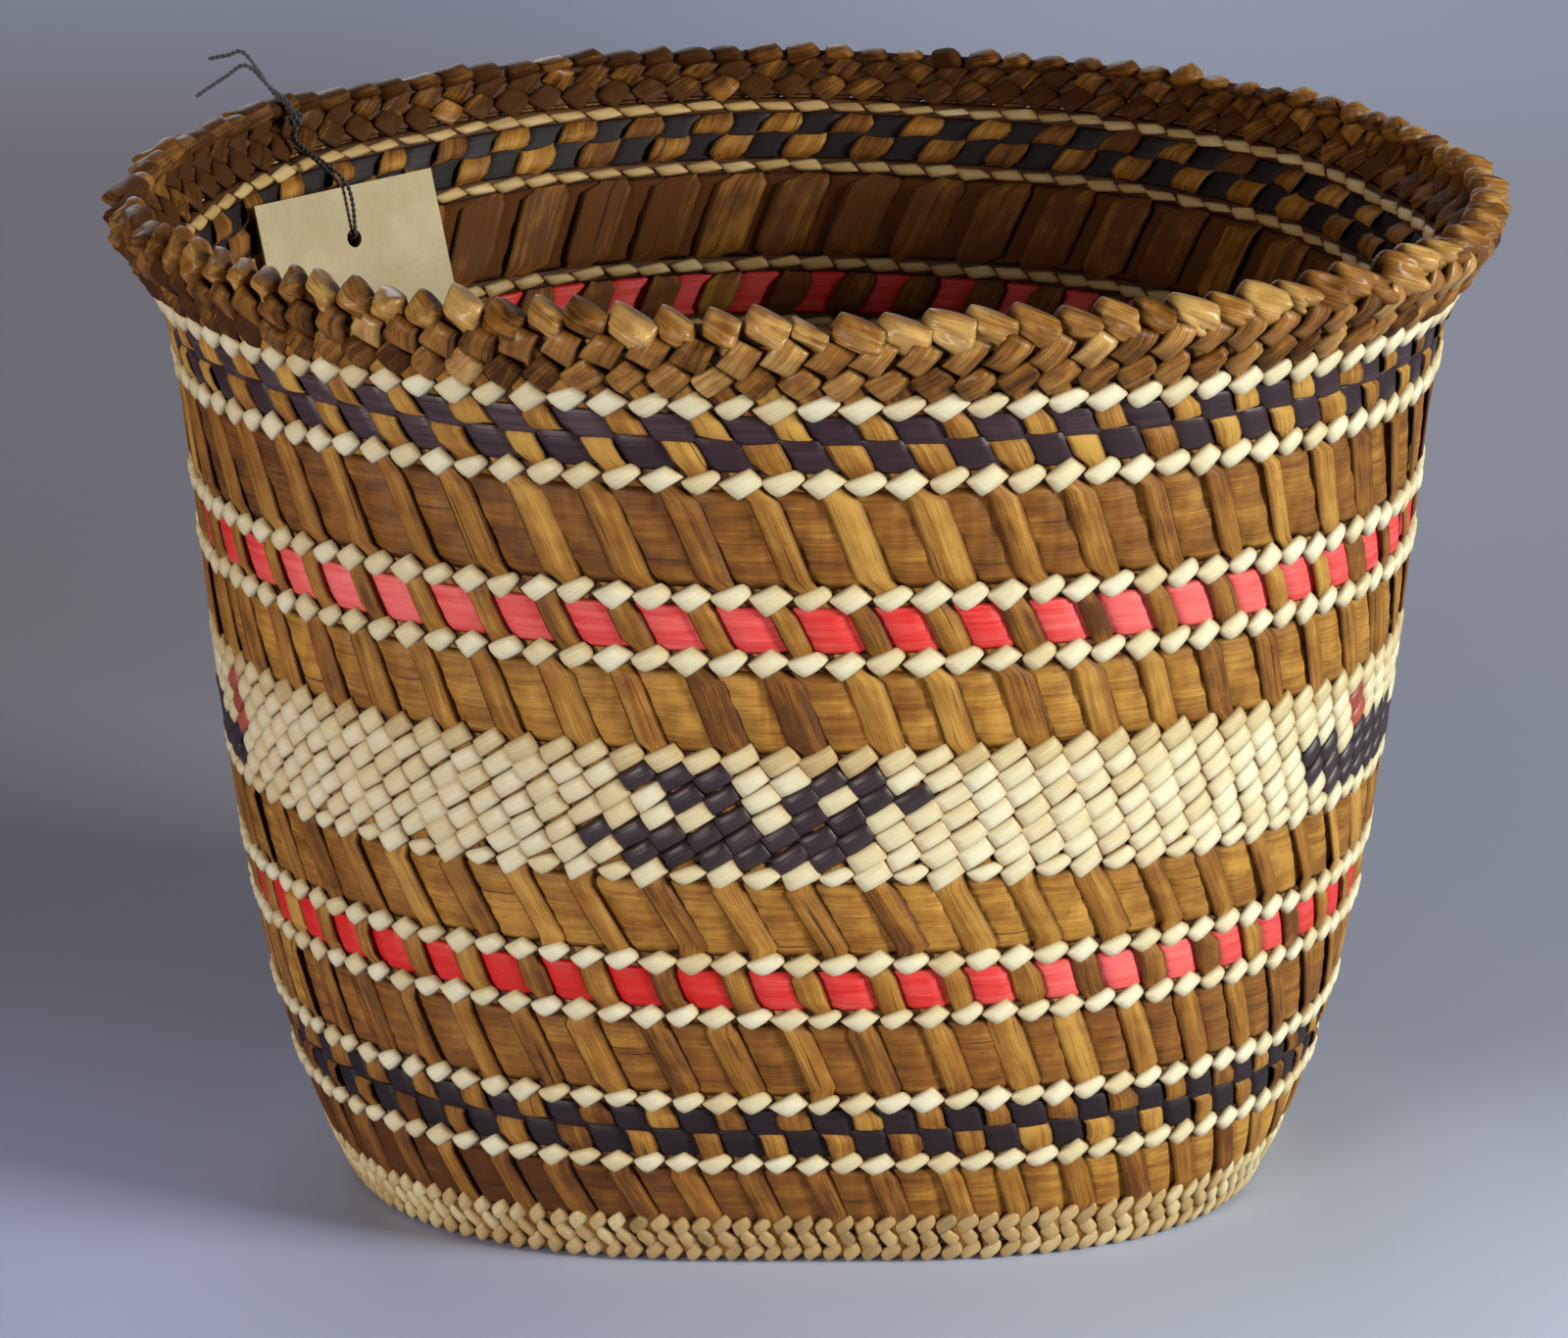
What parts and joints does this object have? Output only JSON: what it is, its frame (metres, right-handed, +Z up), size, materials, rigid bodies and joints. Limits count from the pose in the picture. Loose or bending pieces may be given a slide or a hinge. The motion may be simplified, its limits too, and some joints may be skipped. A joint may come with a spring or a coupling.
{
  "type": "cedar bark basket",
  "caption": "Flared round basket of plaited cedar bark with pale twined grass rows, red and dark strips, a woven figure band, a braided rim and a card tag hanging inside",
  "frame": {"origin": "middle of the flat base, on the surface that the basket stands on", "axes": "+Z up, +X to the right of someone facing the front, -Y towards the front, where one woven figure is centred"},
  "size_m": [0.2842, 0.2602, 0.2154],
  "materials": {
    "cedar_upright": "golden brown split bark with lengthwise grain and a soft sheen",
    "cedar_strip": "red brown bark strip with level grain",
    "bear_grass": "pale glossy grass with fine lengthwise lines",
    "red_strip": "dyed red strip, fading to pink in places",
    "purple_strip": "dark purple dyed strip with a sheen",
    "cedar_braid": "glossy brown folded bark",
    "base": "plaited brown bark",
    "tag_card": "matte beige card",
    "tag_thread": "dark grey twisted thread"
  },
  "bodies": {
    "basket": {"base_mat": "base", "inner_uprights": "cedar_upright", "outer_uprights": "cedar_upright", "wide_strip_1": "cedar_strip", "wide_strip_2": "cedar_strip", "wide_strip_3": "cedar_strip", "wide_strip_4": "cedar_strip", "wide_strip_5": "cedar_strip", "red_strip_1": "red_strip", "red_strip_2": "red_strip", "purple_strip_1": "purple_strip", "purple_strip_2": "purple_strip", "purple_strip_3": "purple_strip", "purple_strip_4": "purple_strip", "foot_row_1": "bear_grass", "foot_row_2": "bear_grass", "foot_row_3": "bear_grass", "figured_row_1": "bear_grass", "figured_row_2": "bear_grass", "figured_row_3": "bear_grass", "figured_row_4": "bear_grass", "figured_row_5": "bear_grass", "figured_row_6": "bear_grass", "figured_row_7": "bear_grass", "grass_row_1": "bear_grass", "grass_row_2": "bear_grass", "grass_row_3": "bear_grass", "grass_row_4": "bear_grass", "grass_row_5": "bear_grass", "grass_row_6": "bear_grass", "grass_row_7": "bear_grass", "grass_row_8": "bear_grass", "rim_twine": "cedar_braid", "rim_braid": "cedar_braid", "rim_fold": "cedar_braid", "string_knot": "tag_thread"},
    "tag": {"tag_card": "tag_card", "tag_string": "tag_thread"}
  },
  "joints": [
    {"name": "tag_swing", "type": "hinge", "parent": "basket", "child": "tag", "pos_m": [-0.10719, 0.0579, 0.19824], "axis": [-0.6887, -0.7251, 0], "range_deg": [0, 90]}
  ]
}
